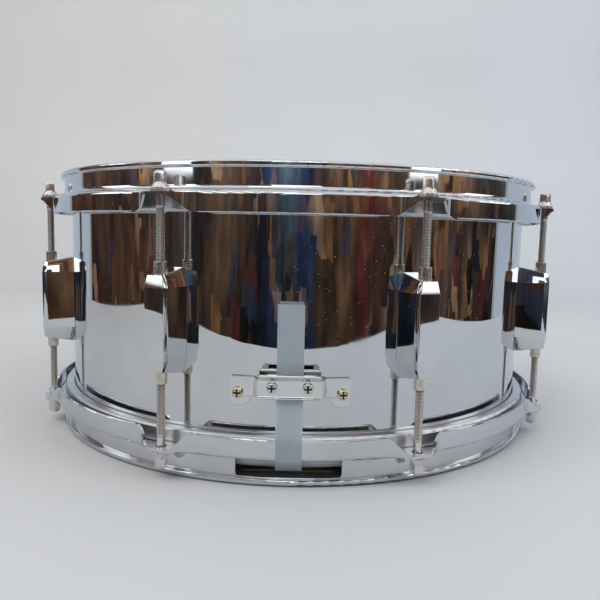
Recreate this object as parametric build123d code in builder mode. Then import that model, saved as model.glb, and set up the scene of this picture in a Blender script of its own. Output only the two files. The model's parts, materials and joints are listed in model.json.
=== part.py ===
from build123d import *
import os
from math import sin, cos, tan, radians, hypot, atan2, pi

os.makedirs("parts", exist_ok=True)

# ---------------------------------------------------------------- dimensions
# Millimetres. Z is the drum axis, z = 0 is the lower rim. Azimuth 0 is -Y (butt
# plate), the throw-off is at azimuth 180 (+Y). "h" is the height above mid-drum.
ZC = 90.65            # mid height of the drum
LUGS = 8
FIRST_LUG = -67.5     # azimuth of lug 1, degrees

R_SHELL = 177.0       # 14 inch class shell
T_SHELL = 1.2
H_SHELL = 82.5        # half depth, 6.5 inch class
R_ROD = 191.8         # tension rod circle

# hoop section
HW_IN, HW_OUT = 180.5, 182.1      # upright wall
HR_OUT = 184.5                    # rim lip
H_TOP = 90.65                     # rim end
H_LIP = 87.2                      # underside of the lip
H_MID, H_MIDU = 74.4, 72.8        # mid flange top and underside
R_SKIRT, T_SKIRT = 190.0, 1.6
H_SKIRT = 61.9                    # end of the skirt

# ears
EAR_R = 198.0
EAR_TIP = 6.8                     # half width of the flat tip
EAR_FOOT = 25.0                   # half width at the skirt
EAR_H = 72.65                     # seat for the washer
T_EAR = 1.6

# rods, nuts
ROD_R = 2.4
ROD_END = 18.0
COLLAR_R = 5.15
WASHER_R, WASHER_T = 5.5, 1.2
KEY_SQ = 6.0
HEAD_TOP = 84.3
NUT_R, NUT_BORE = 3.65, 2.75
NUT_FACE, NUT_INNER = 34.7, 14.8

# lug casing
LUG_R = 198.3
LUG_W, LUG_C, LUG_CD = 6.3, 1.0, 3.2   # face half width, chamfer width and depth
LUG_STRAIGHT = 20.0
LUG_SCREW_H = 11.0

# heads
FILM = 0.25
R_FILM = 177.45
FLESH_IN, FLESH_OUT = 177.7, 183.6
FLESH_END = 62.6

# strap and butt plate
STRAP_W, STRAP_T = 15.0, 0.7
BUTT_AZ = 9.6
BUTT_Z = 51.9
CLAMP_X, CLAMP_Z = 10.0, 57.5
GATE_HALF, GATE_LO, GATE_HI = 30.5, 4.1, 15.7

# snare wires
WIRES, WIRE_PITCH, WIRE_R, WIRE_Z, WIRE_HALF = 20, 2.7, 1.15, 6.35, 163.0

# throw-off
KNOB_D = 185.3
PIVOT_D, PIVOT_Z = 186.0, 90.0

AZ = [FIRST_LUG + i * 360.0 / LUGS for i in range(LUGS)]
MID = Plane.XY.offset(ZC)


def outline(points):
    """Closed outline inside a BuildLine: (x, y, corner radius) for every corner."""
    n = len(points)
    cut = []
    for i in range(n):
        x0, y0 = points[i - 1][:2]
        x1, y1, r = points[i]
        x2, y2 = points[(i + 1) % n][:2]
        if r <= 0:
            cut.append(((x1, y1), None, (x1, y1)))
            continue
        a = hypot(x0 - x1, y0 - y1)
        b = hypot(x2 - x1, y2 - y1)
        ux, uy = (x0 - x1) / a, (y0 - y1) / a
        vx, vy = (x2 - x1) / b, (y2 - y1) / b
        c = ux * vx + uy * vy
        half = 0.5 * atan2((1 - c * c) ** 0.5, c)
        t = r / tan(half)
        wx, wy = ux + vx, uy + vy
        w = hypot(wx, wy)
        cx, cy = x1 + wx / w * r / sin(half), y1 + wy / w * r / sin(half)
        m = hypot(x1 - cx, y1 - cy)
        cut.append((
            (x1 + ux * t, y1 + uy * t),
            (cx + (x1 - cx) / m * r, cy + (y1 - cy) / m * r),
            (x1 + vx * t, y1 + vy * t),
        ))
    for i in range(n):
        a, m, b = cut[i]
        if m is not None:
            ThreePointArc(a, m, b)
        s = cut[(i + 1) % n][0]
        if hypot(b[0] - s[0], b[1] - s[1]) > 1e-6:
            Line(b, s)


def sheet_path(points, thick):
    """Outline of a bent strip of constant thickness along a centre line."""
    left, right = [], []
    n = len(points)
    for i in range(n):
        x, y, r = points[i]
        d = []
        for a, b in ((i - 1, i), (i, i + 1)):
            if a >= 0 and b < n:
                dx, dy = points[b][0] - points[a][0], points[b][1] - points[a][1]
                m = hypot(dx, dy)
                d.append((-dy / m, dx / m))
        nx, ny = sum(v[0] for v in d), sum(v[1] for v in d)
        m = hypot(nx, ny)
        nx, ny = nx / m, ny / m
        k = 0.5 * thick / (nx * d[0][0] + ny * d[0][1])
        turn = 0.0
        if len(d) == 2:
            turn = d[0][0] * d[1][1] - d[0][1] * d[1][0]
        rl = r - 0.5 * thick if turn > 0 else r + 0.5 * thick
        rr = r + 0.5 * thick if turn > 0 else r - 0.5 * thick
        if r <= 0:
            rl = rr = 0
        left.append((x + nx * k, y + ny * k, rl))
        right.append((x - nx * k, y - ny * k, rr))
    return left + right[::-1]


def save(part, name):
    part.label = name
    export_step(part, f"parts/{name}.step")
    print(name, len(part.solids()), "solids", round(part.volume / 1000.0, 2), "cm3")


# ---------------------------------------------------------------- shell
with BuildPart() as shell:
    with BuildSketch(Plane.XZ) as shell_profile:
        with BuildLine() as shell_line:
            outline([
                (R_SHELL, ZC - H_SHELL + 2.6, 1.5), (R_SHELL, ZC + H_SHELL - 2.6, 1.5),
                (174.6, ZC + H_SHELL, 0.5), (172.4, ZC + H_SHELL, 0.4),
                (172.4, ZC + H_SHELL - 1.2, 0.3), (173.9, ZC + H_SHELL - 1.2, 0.3),
                (R_SHELL - T_SHELL, ZC + H_SHELL - 3.3, 0.8),
                (R_SHELL - T_SHELL, ZC - H_SHELL + 3.3, 0.8),
                (173.9, ZC - H_SHELL + 1.2, 0.3), (172.4, ZC - H_SHELL + 1.2, 0.3),
                (172.4, ZC - H_SHELL, 0.4), (174.6, ZC - H_SHELL, 0.5),
            ])
        make_face()
    revolve(axis=Axis.Z)

# drilling tool for the shell: lug screws, butt screws, throw-off screws and vent
with BuildPart() as lug_drill:
    with BuildSketch(Plane.XZ.offset(165)) as s1:
        with Locations((0, ZC + LUG_SCREW_H), (0, ZC - LUG_SCREW_H)):
            Circle(2.3)
    extrude(amount=20)
with BuildPart() as butt_drill:
    with BuildSketch(Plane.XZ.offset(165)) as s2:
        with Locations((0, BUTT_Z)):
            Circle(2.3)
    extrude(amount=20)
with BuildPart() as strainer_drill:
    with BuildSketch(Plane.XZ.offset(165)) as s3:
        with Locations((0, 56), (0, 94)):
            Circle(2.3)
    extrude(amount=20)
with BuildPart() as vent_drill:
    with BuildSketch(Plane.XZ.offset(165)) as s4:
        with Locations((0, ZC)):
            Circle(5.6)
    extrude(amount=20)

with BuildPart() as shell_drilled:
    add(shell.part)
    for a in AZ:
        add(lug_drill.part.rotate(Axis.Z, a), mode=Mode.SUBTRACT)
    for a in (BUTT_AZ, -BUTT_AZ):
        add(butt_drill.part.rotate(Axis.Z, a), mode=Mode.SUBTRACT)
    add(strainer_drill.part.rotate(Axis.Z, 180), mode=Mode.SUBTRACT)
    add(vent_drill.part.rotate(Axis.Z, 135), mode=Mode.SUBTRACT)
save(shell_drilled.part, "shell")

# vent eyelet
with BuildPart() as vent:
    with BuildSketch(Plane.XZ.offset(174.2)) as v1:
        with Locations((0, ZC)):
            Circle(5.4)
    extrude(amount=4.4)
    with BuildSketch(Plane.XZ.offset(177.3)) as v2:
        with Locations((0, ZC)):
            Circle(8.0)
    extrude(amount=1.3)
    with BuildSketch(Plane.XZ.offset(174.2)) as v3:
        with Locations((0, ZC)):
            Circle(7.0)
    extrude(amount=1.2)
    with BuildSketch(Plane.XZ.offset(170)) as v4:
        with Locations((0, ZC)):
            Circle(4.4)
    extrude(amount=12, mode=Mode.SUBTRACT)
with BuildPart() as vent_grommet:
    add(vent.part.rotate(Axis.Z, 135))
save(vent_grommet.part, "vent_grommet")

# ---------------------------------------------------------------- hoops
with BuildPart() as hoop_ring:
    with BuildSketch(Plane.XZ) as hoop_profile:
        with BuildLine() as hoop_line:
            outline([
                (HW_IN, ZC + H_MIDU, 0), (HW_IN, ZC + H_TOP, 1.2),
                (HR_OUT, ZC + H_TOP, 1.3), (HR_OUT, ZC + H_LIP, 1.0),
                (HW_OUT, ZC + H_LIP, 0.5), (HW_OUT, ZC + H_MID, 3.0),
                (R_SKIRT, ZC + H_MID, 2.4), (R_SKIRT, ZC + H_SKIRT, 0.7),
                (R_SKIRT - T_SKIRT, ZC + H_SKIRT, 0.6),
                (R_SKIRT - T_SKIRT, ZC + H_MIDU, 1.0),
            ])
        make_face()
    revolve(axis=Axis.Z)

with BuildPart() as ear:
    with BuildSketch(Plane.XY.offset(ZC + H_SKIRT)) as ear_plan:
        with BuildLine() as ear_line:
            outline([
                (-EAR_FOOT, -187.9, 0), (-15.0, -190.3, 12.0), (-EAR_TIP, -EAR_R, 3.0),
                (EAR_TIP, -EAR_R, 3.0), (15.0, -190.3, 12.0), (EAR_FOOT, -187.9, 0),
            ])
        make_face()
    extrude(amount=EAR_H - H_SKIRT)
    with BuildSketch(Plane.XY.offset(ZC + EAR_H - T_EAR)) as ear_seat:
        with Locations((0, -187.2)):
            Rectangle(15.0, 5.8)
    extrude(amount=T_EAR + 0.65)

with BuildPart() as ear_cut:
    with BuildSketch(Plane.XY.offset(ZC + 50)) as ear_inside:
        with BuildLine() as ear_inside_line:
            outline([
                (-24.5, -186.2, 0), (-14.3, -188.75, 12.0), (-6.1, -196.5, 1.6),
                (6.1, -196.5, 1.6), (14.3, -188.75, 12.0), (24.5, -186.2, 0),
            ])
        make_face()
    extrude(amount=EAR_H - T_EAR - 50)
    # arch under the ear, running out into the edge of the skirt
    with BuildSketch(Plane.XZ.offset(185.0)) as ear_arch:
        with BuildLine() as ear_arch_line:
            outline([
                (-22.5, ZC + H_SKIRT - 4.0, 0), (-22.5, ZC + H_SKIRT - 0.02, 0),
                (-17.2, ZC + H_SKIRT - 0.02, 9.0), (-7.9, ZC + EAR_H - T_EAR - 0.1, 3.4),
                (7.9, ZC + EAR_H - T_EAR - 0.1, 3.4), (17.2, ZC + H_SKIRT - 0.02, 9.0),
                (22.5, ZC + H_SKIRT - 0.02, 0), (22.5, ZC + H_SKIRT - 4.0, 0),
            ])
        make_face()
    extrude(amount=16.0)
    with BuildSketch(Plane.XY.offset(ZC + 50)) as ear_hole:
        with Locations((0, -R_ROD)):
            Circle(3.3)
    extrude(amount=30)
    with BuildSketch(Plane.XY.offset(ZC + EAR_H)) as spot_face:
        with Locations((0, -R_ROD)):
            Circle(6.2)
    extrude(amount=5)

with BuildPart() as top_hoop:
    add(hoop_ring.part)
    for a in AZ:
        add(ear.part.rotate(Axis.Z, a))
    for a in AZ:
        add(ear_cut.part.rotate(Axis.Z, a), mode=Mode.SUBTRACT)
save(top_hoop.part, "top_hoop")

with BuildPart() as gate_cut:
    with BuildSketch(Plane.XZ.offset(172)) as gate_profile:
        with Locations((0, 0.5 * (GATE_LO + GATE_HI))):
            RectangleRounded(2 * GATE_HALF, GATE_HI - GATE_LO, 2.0)
    extrude(amount=22)

with BuildPart() as bottom_hoop:
    add(top_hoop.part.mirror(MID))
    add(gate_cut.part, mode=Mode.SUBTRACT)
    add(gate_cut.part.rotate(Axis.Z, 180), mode=Mode.SUBTRACT)
save(bottom_hoop.part, "bottom_hoop")

# ---------------------------------------------------------------- heads
with BuildPart() as batter_head_film:
    with BuildSketch(Plane.XZ) as film_profile:
        with BuildLine() as film_line:
            e = ZC + H_SHELL
            Polyline([
                (0, e), (175.1, e), (R_FILM, e - 2.55), (R_FILM, ZC + FLESH_END + 0.2),
                (R_FILM + FILM, ZC + FLESH_END + 0.2), (R_FILM + FILM, e - 2.45),
                (175.2, e + FILM), (0, e + FILM), (0, e),
            ])
        make_face()
    revolve(axis=Axis.Z)
save(batter_head_film.part, "batter_head_film")

with BuildPart() as snare_head_film:
    add(batter_head_film.part.mirror(MID))
save(snare_head_film.part, "snare_head_film")

with BuildPart() as batter_flesh_hoop:
    with BuildSketch(Plane.XZ) as flesh_profile:
        with BuildLine() as flesh_line:
            outline([
                (FLESH_IN, ZC + FLESH_END, 0.5), (FLESH_OUT, ZC + FLESH_END, 1.8),
                (FLESH_OUT, ZC + H_MIDU, 1.8), (FLESH_IN, ZC + H_MIDU, 0.5),
            ])
        make_face()
    revolve(axis=Axis.Z)
save(batter_flesh_hoop.part, "batter_flesh_hoop")

with BuildPart() as snare_flesh_hoop:
    add(batter_flesh_hoop.part.mirror(MID))
save(snare_flesh_hoop.part, "snare_flesh_hoop")

# ---------------------------------------------------------------- tension rods
with BuildPart() as rod:
    with BuildSketch(Plane.XY.offset(ZC + ROD_END)) as rod_shaft:
        with Locations((0, -R_ROD)):
            Circle(ROD_R)
    extrude(amount=EAR_H + WASHER_T - ROD_END)
    chamfer(rod.edges().sort_by(Axis.Z)[0], length=0.6)
    with BuildSketch(Plane.XY.offset(ZC + EAR_H + WASHER_T)) as rod_collar:
        with Locations((0, -R_ROD)):
            Circle(COLLAR_R)
    extrude(amount=1.6)
    with BuildSketch(Plane.XY.offset(ZC + EAR_H + WASHER_T + 1.6)) as rod_cone:
        with Locations((0, -R_ROD)):
            Circle(COLLAR_R - 0.5)
    extrude(amount=2.6, taper=28)
    with BuildSketch(Plane.XY.offset(ZC + EAR_H + WASHER_T + 2.0)) as rod_head:
        with Locations((0, -R_ROD)):
            Rectangle(KEY_SQ, KEY_SQ)
    extrude(amount=HEAD_TOP - EAR_H - WASHER_T - 2.0)
    chamfer(rod.faces().sort_by(Axis.Z)[-1].edges(), length=0.8)

for i, a in enumerate(AZ):
    with BuildPart() as tension_rod_top:
        add(rod.part.rotate(Axis.Z, a))
    save(tension_rod_top.part, f"tension_rod_top_{i + 1}")
    with BuildPart() as tension_rod_bottom:
        add(rod.part.mirror(MID).rotate(Axis.Z, a))
    save(tension_rod_bottom.part, f"tension_rod_bottom_{i + 1}")

with BuildPart() as rod_washer:
    with BuildSketch(Plane.XY.offset(ZC + EAR_H)) as washer_plan:
        with Locations((0, -R_ROD)):
            Circle(WASHER_R)
            Circle(NUT_BORE, mode=Mode.SUBTRACT)
    extrude(amount=WASHER_T)
with BuildPart() as top_rod_washers:
    for a in AZ:
        add(rod_washer.part.rotate(Axis.Z, a))
save(top_rod_washers.part, "top_rod_washers")
with BuildPart() as bottom_rod_washers:
    for a in AZ:
        add(rod_washer.part.mirror(MID).rotate(Axis.Z, a))
save(bottom_rod_washers.part, "bottom_rod_washers")

# ---------------------------------------------------------------- lugs
with BuildPart() as swivel_nut:
    with BuildSketch(Plane.XY.offset(ZC + NUT_INNER)) as nut_sleeve:
        with Locations((0, -R_ROD)):
            Circle(NUT_R)
    extrude(amount=NUT_FACE - NUT_INNER)
    chamfer(swivel_nut.edges().sort_by(Axis.Z)[-1], length=0.35)
    with BuildSketch(Plane.XY.offset(ZC + NUT_INNER)) as nut_collar:
        with Locations((0, -R_ROD)):
            Circle(4.6)
    extrude(amount=3.0)
    with BuildSketch(Plane.XY.offset(ZC + NUT_INNER)) as nut_bore:
        with Locations((0, -R_ROD)):
            Circle(NUT_BORE)
    extrude(amount=NUT_FACE - NUT_INNER, mode=Mode.SUBTRACT)
with BuildPart() as lug_swivel_nuts:
    for a in AZ:
        add(swivel_nut.part.rotate(Axis.Z, a))
        add(swivel_nut.part.mirror(MID).rotate(Axis.Z, a))
save(lug_swivel_nuts.part, "lug_swivel_nuts")

with BuildPart() as insert_tube:
    with BuildSketch(Plane.XY.offset(ZC - NUT_INNER)) as tube_plan:
        with Locations((0, -R_ROD)):
            Circle(3.6)
            Circle(NUT_BORE, mode=Mode.SUBTRACT)
    extrude(amount=2 * NUT_INNER)
with BuildPart() as lug_insert_tubes:
    for a in AZ:
        add(insert_tube.part.rotate(Axis.Z, a))
save(lug_insert_tubes.part, "lug_insert_tubes")


def lug_section(ro, w, side, back):
    return [(-side, -back), (-side, -(ro - LUG_CD)), (-w, -ro), (w, -ro),
            (side, -(ro - LUG_CD)), (side, -back), (-side, -back)]


LUG_FULL = lug_section(LUG_R, LUG_W, LUG_W + LUG_C, 174)
LUG_END = lug_section(LUG_R - 1.5, LUG_W - 2.4, LUG_W + LUG_C - 3.0, 174)

with BuildPart() as lug:
    with BuildSketch(Plane.XY.offset(ZC - LUG_STRAIGHT)) as lug_mid:
        with BuildLine() as lug_mid_line:
            Polyline(LUG_FULL)
        make_face()
    extrude(amount=2 * LUG_STRAIGHT)
    with BuildSketch(Plane.XY.offset(ZC + LUG_STRAIGHT)) as lug_a:
        with BuildLine() as lug_a_line:
            Polyline(LUG_FULL)
        make_face()
    with BuildSketch(Plane.XY.offset(ZC + 32)) as lug_b:
        with BuildLine() as lug_b_line:
            Polyline(LUG_END)
        make_face()
    loft(ruled=True)
    with BuildSketch(Plane.XY.offset(ZC - LUG_STRAIGHT)) as lug_c:
        with BuildLine() as lug_c_line:
            Polyline(LUG_FULL)
        make_face()
    with BuildSketch(Plane.XY.offset(ZC - 32)) as lug_d:
        with BuildLine() as lug_d_line:
            Polyline(LUG_END)
        make_face()
    loft(ruled=True)
    # sloping end faces
    with BuildSketch(Plane.YZ.offset(-12)) as lug_ends:
        with BuildLine() as lug_ends_top:
            Polyline([(-170, ZC + 32.1), (-205, ZC + 25.7), (-205, ZC + 40), (-170, ZC + 40), (-170, ZC + 32.1)])
        make_face()
        with BuildLine() as lug_ends_low:
            Polyline([(-170, ZC - 32.1), (-205, ZC - 25.7), (-205, ZC - 40), (-170, ZC - 40), (-170, ZC - 32.1)])
        make_face()
    extrude(amount=24, mode=Mode.SUBTRACT)
    # hollow casting
    with BuildSketch(Plane.XY.offset(ZC - 19.0)) as lug_hollow:
        with Locations((0, -183.35)):
            Rectangle(10.4, 26.7)
    extrude(amount=38.0, mode=Mode.SUBTRACT)
    # nut bores through both end walls
    with BuildSketch(Plane.XY.offset(ZC - 40)) as lug_bore:
        with Locations((0, -R_ROD)):
            Circle(NUT_R + 0.1)
    extrude(amount=80, mode=Mode.SUBTRACT)
    # screw bosses on webs
    with BuildSketch(Plane.XZ.offset(174)) as lug_boss:
        with Locations((0, ZC + LUG_SCREW_H), (0, ZC - LUG_SCREW_H)):
            Circle(3.8)
            Rectangle(11.2, 2.4)
    extrude(amount=12.5)
    with BuildSketch(Plane.XZ.offset(170)) as lug_tap:
        with Locations((0, ZC + LUG_SCREW_H), (0, ZC - LUG_SCREW_H)):
            Circle(2.05)
    extrude(amount=15.5, mode=Mode.SUBTRACT)
    # foot follows the shell
    with BuildSketch(Plane.XY.offset(ZC - 40)) as lug_foot:
        Circle(R_SHELL + 0.05)
    extrude(amount=80, mode=Mode.SUBTRACT)

for i, a in enumerate(AZ):
    with BuildPart() as lug_casing:
        add(lug.part.rotate(Axis.Z, a))
    save(lug_casing.part, f"lug_casing_{i + 1}")

with BuildPart() as lug_screw:
    with BuildSketch(Plane.XZ.offset(174.7)) as lug_screw_shaft:
        with Locations((0, ZC + LUG_SCREW_H), (0, ZC - LUG_SCREW_H)):
            Circle(2.0)
    extrude(amount=10.3)
    with BuildSketch(Plane.XZ.offset(172.0)) as lug_screw_head:
        with Locations((0, ZC + LUG_SCREW_H), (0, ZC - LUG_SCREW_H)):
            RegularPolygon(radius=3.6, side_count=6, major_radius=False)
    extrude(amount=2.7)
with BuildPart() as lug_mount_screws:
    for a in AZ:
        add(lug_screw.part.rotate(Axis.Z, a))
save(lug_mount_screws.part, "lug_mount_screws")

with BuildPart() as lug_washer:
    with BuildSketch(Plane.XZ.offset(174.7)) as lug_washer_plan:
        with Locations((0, ZC + LUG_SCREW_H), (0, ZC - LUG_SCREW_H)):
            Circle(5.0)
            Circle(2.2, mode=Mode.SUBTRACT)
    extrude(amount=1.0)
with BuildPart() as lug_screw_washers:
    for a in AZ:
        add(lug_washer.part.rotate(Axis.Z, a))
save(lug_screw_washers.part, "lug_screw_washers")

# ---------------------------------------------------------------- butt plate
with BuildPart() as butt_tab:
    with BuildSketch(Plane.XZ.offset(R_SHELL + 0.05)) as butt_tab_plan:
        with BuildLine() as butt_tab_line:
            outline([
                (-8.7, 61.3, 0.4), (-8.7, 50.0, 1.2), (-4.2, 44.4, 1.2),
                (4.9, 44.4, 2.2), (4.9, 61.3, 1.0),
            ])
        make_face()
        with Locations((0, BUTT_Z)):
            Circle(2.1, mode=Mode.SUBTRACT)
    extrude(amount=1.8)

with BuildPart() as butt_plate:
    add(butt_tab.part.rotate(Axis.Z, BUTT_AZ))
    add(butt_tab.part.mirror(Plane.YZ).rotate(Axis.Z, -BUTT_AZ))
    # necks that step out from the tabs to the raised middle
    with BuildSketch(Plane.XY.offset(50.5)) as butt_necks:
        with BuildLine() as neck_r:
            Polyline([(21.9, -175.95), (22.1, -177.6), (20.4, -178.3), (18.3, -184.0), (16.0, -184.0),
                      (16.0, -182.2), (17.0, -182.2), (19.2, -176.55), (21.9, -175.95)])
        make_face()
        with BuildLine() as neck_l:
            Polyline([(-21.9, -175.95), (-22.1, -177.6), (-20.4, -178.3), (-18.3, -184.0), (-16.0, -184.0),
                      (-16.0, -182.2), (-17.0, -182.2), (-19.2, -176.55), (-21.9, -175.95)])
        make_face()
    extrude(amount=10.8)
    with BuildSketch(Plane.XZ.offset(182.2)) as butt_middle:
        with BuildLine() as butt_middle_line:
            outline([
                (-17.6, 50.5, 0.5), (17.6, 50.5, 0.5), (17.6, 67.4, 2.2), (-17.6, 67.4, 2.2),
            ])
        make_face()
        with Locations((CLAMP_X, CLAMP_Z), (-CLAMP_X, CLAMP_Z)):
            Circle(1.95, mode=Mode.SUBTRACT)
    extrude(amount=1.8)
save(butt_plate.part, "butt_plate")

with BuildPart() as butt_clamp_plate:
    with BuildSketch(Plane.YZ.offset(-18.0)) as clamp_profile:
        with BuildLine() as clamp_line:
            outline([
                (-184.8, 51.0, 0.3), (-184.8, 61.6, 2.2), (-188.6, 65.35, 0.5),
                (-190.4, 65.1, 0.6), (-190.2, 64.0, 0.5), (-186.6, 61.5, 0.6),
                (-186.6, 52.4, 0.8), (-187.6, 51.5, 0.3), (-187.2, 51.0, 0.2),
            ])
        make_face()
    extrude(amount=36.0)
    with BuildSketch(Plane.XZ.offset(180)) as clamp_holes:
        with Locations((CLAMP_X, CLAMP_Z), (-CLAMP_X, CLAMP_Z)):
            Circle(2.1)
    extrude(amount=12, mode=Mode.SUBTRACT)
    with BuildSketch(Plane.XZ.offset(180)) as clamp_corners:
        with Locations((18.0, 51.0), (-18.0, 51.0)):
            Rectangle(3.0, 3.0, rotation=45)
        with Locations((18.0, 65.4), (-18.0, 65.4)):
            Rectangle(2.4, 2.4, rotation=45)
    extrude(amount=14, mode=Mode.SUBTRACT)
save(butt_clamp_plate.part, "butt_clamp_plate")

# pan-head screws with a cross recess
with BuildPart() as clamp_screw:
    with BuildSketch(Plane.XZ.offset(186.6)) as cs_head:
        with Locations((0, CLAMP_Z)):
            Circle(3.1)
    extrude(amount=2.3)
    fillet(clamp_screw.edges().filter_by(GeomType.CIRCLE).sort_by(Axis.Y)[0], radius=1.3)
    with BuildSketch(Plane.XZ.offset(187.6)) as cs_cross:
        with Locations((0, CLAMP_Z)):
            Rectangle(4.4, 1.1)
            Rectangle(1.1, 4.4)
    extrude(amount=3, mode=Mode.SUBTRACT)
    with BuildSketch(Plane.XZ.offset(180.5)) as cs_shaft:
        with Locations((0, CLAMP_Z)):
            Circle(1.9)
    extrude(amount=6.1)
with BuildPart() as butt_clamp_screws:
    add(clamp_screw.part.moved(Location((CLAMP_X, 0, 0))))
    add(clamp_screw.part.moved(Location((-CLAMP_X, 0, 0))))
save(butt_clamp_screws.part, "butt_clamp_screws")

with BuildPart() as mount_screw:
    with BuildSketch(Plane.XZ.offset(R_SHELL + 1.85)) as ms_head:
        with Locations((0, BUTT_Z)):
            Circle(3.1)
    extrude(amount=2.3)
    fillet(mount_screw.edges().filter_by(GeomType.CIRCLE).sort_by(Axis.Y)[0], radius=1.3)
    with BuildSketch(Plane.XZ.offset(R_SHELL + 2.85)) as ms_cross:
        with Locations((0, BUTT_Z)):
            Rectangle(4.4, 1.1)
            Rectangle(1.1, 4.4)
    extrude(amount=3, mode=Mode.SUBTRACT)
    with BuildSketch(Plane.XZ.offset(169.5)) as ms_shaft:
        with Locations((0, BUTT_Z)):
            Circle(2.0)
    extrude(amount=9.35)
with BuildPart() as butt_mount_screws:
    add(mount_screw.part.rotate(Axis.Z, BUTT_AZ))
    add(mount_screw.part.rotate(Axis.Z, -BUTT_AZ))
save(butt_mount_screws.part, "butt_mount_screws")

with BuildPart() as mount_nut:
    with BuildSketch(Plane.XZ.offset(171.4)) as mn_hex:
        with Locations((0, BUTT_Z)):
            RegularPolygon(radius=3.5, side_count=6, major_radius=False)
            Circle(2.05, mode=Mode.SUBTRACT)
    extrude(amount=3.2)
with BuildPart() as butt_screw_nuts:
    add(mount_nut.part.rotate(Axis.Z, BUTT_AZ))
    add(mount_nut.part.rotate(Axis.Z, -BUTT_AZ))
save(butt_screw_nuts.part, "butt_screw_nuts")

with BuildPart() as mount_washer:
    with BuildSketch(Plane.XZ.offset(174.7)) as mw_plan:
        with Locations((0, BUTT_Z)):
            Circle(4.6)
            Circle(2.2, mode=Mode.SUBTRACT)
    extrude(amount=1.0)
with BuildPart() as butt_screw_washers:
    add(mount_washer.part.rotate(Axis.Z, BUTT_AZ))
    add(mount_washer.part.rotate(Axis.Z, -BUTT_AZ))
save(butt_screw_washers.part, "butt_screw_washers")

# ---------------------------------------------------------------- straps
BUTT_PATH = [(-165.0, 5.75, 0), (-174.5, 5.75, 8), (-179.2, 7.6, 8), (-190.35, 16.4, 2.2),
             (-190.75, 31.0, 6), (-184.4, 49.0, 6), (-184.4, 103.6, 0)]
with BuildPart() as butt_strap:
    with BuildSketch(Plane.YZ.offset(-0.5 * STRAP_W)) as butt_strap_profile:
        with BuildLine() as butt_strap_line:
            outline(sheet_path(BUTT_PATH, STRAP_T))
        make_face()
    extrude(amount=STRAP_W)
save(butt_strap.part, "butt_strap")

THROW_PATH = [(-165.0, 5.75, 0), (-174.5, 5.75, 8), (-179.2, 7.6, 8), (-190.35, 16.4, 2.2),
              (-190.75, 31.0, 20), (-190.45, 47.0, 20), (-190.45, 74.0, 0)]
with BuildPart() as throwoff_strap_ref:
    with BuildSketch(Plane.YZ.offset(-0.5 * STRAP_W)) as throw_strap_profile:
        with BuildLine() as throw_strap_line:
            outline(sheet_path(THROW_PATH, STRAP_T))
        make_face()
    extrude(amount=STRAP_W)
with BuildPart() as throwoff_strap:
    add(throwoff_strap_ref.part.rotate(Axis.Z, 180))
save(throwoff_strap.part, "throwoff_strap")

# ---------------------------------------------------------------- snare wires
with BuildPart() as snare_wires:
    with BuildSketch(Plane.XZ.offset(-WIRE_HALF)) as wire_plan:
        with Locations(*[((i - 0.5 * (WIRES - 1)) * WIRE_PITCH, WIRE_Z) for i in range(WIRES)]):
            Circle(WIRE_R)
    extrude(amount=2 * WIRE_HALF)
save(snare_wires.part, "snare_wires")

with BuildPart() as end_plate:
    with BuildSketch(Plane.XY.offset(4.0)) as end_plate_plan:
        with BuildLine() as end_plate_line:
            outline([(-28.0, -157.0, 1.0), (28.0, -157.0, 1.0), (28.0, -172.5, 3.0), (-28.0, -172.5, 3.0)])
        make_face()
        with Locations((0, -168.0)):
            RectangleRounded(19.0, 2.2, 1.0, mode=Mode.SUBTRACT)
    extrude(amount=1.1)
with BuildPart() as snare_end_plate_butt:
    add(end_plate.part)
save(snare_end_plate_butt.part, "snare_end_plate_butt")
with BuildPart() as snare_end_plate_throwoff:
    add(end_plate.part.rotate(Axis.Z, 180))
save(snare_end_plate_throwoff.part, "snare_end_plate_throwoff")

# ---------------------------------------------------------------- throw-off
with BuildPart() as base_ref:
    with BuildSketch(Plane.XZ.offset(R_SHELL + 0.1)) as base_plan:
        with BuildLine() as base_line:
            outline([(-17.0, 46.0, 3.0), (17.0, 46.0, 3.0), (17.0, 100.0, 1.0), (-17.0, 100.0, 1.0)])
        make_face()
        with Locations((0, 56), (0, 94)):
            Circle(2.05, mode=Mode.SUBTRACT)
    extrude(amount=2.9)
    with BuildSketch(Plane.YZ.offset(-17.0)) as base_side:
        with BuildLine() as base_side_line:
            outline([(-179.0, 50.0, 0), (-186.5, 50.0, 2.5), (-190.0, 56.0, 2.5), (-190.0, 100.0, 2.5), (-179.0, 100.0, 0)])
        make_face()
        with Locations((-PIVOT_D, PIVOT_Z)):
            Circle(2.05, mode=Mode.SUBTRACT)
    extrude(amount=2.0)
    with BuildSketch(Plane.YZ.offset(15.0)) as base_side2:
        with BuildLine() as base_side2_line:
            outline([(-179.0, 50.0, 0), (-186.5, 50.0, 2.5), (-190.0, 56.0, 2.5), (-190.0, 100.0, 2.5), (-179.0, 100.0, 0)])
        make_face()
        with Locations((-PIVOT_D, PIVOT_Z)):
            Circle(2.05, mode=Mode.SUBTRACT)
    extrude(amount=2.0)
    with BuildSketch(Plane.XY.offset(97.5)) as base_top:
        with BuildLine() as base_top_line:
            outline([(-16.0, -178.0, 0), (16.0, -178.0, 0), (16.0, -189.5, 1.0), (-16.0, -189.5, 1.0)])
        make_face()
        with Locations((0, -KNOB_D)):
            Circle(2.5, mode=Mode.SUBTRACT)
    extrude(amount=2.5)
with BuildPart() as throwoff_base:
    add(base_ref.part.rotate(Axis.Z, 180))
save(throwoff_base.part, "throwoff_base")

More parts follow.
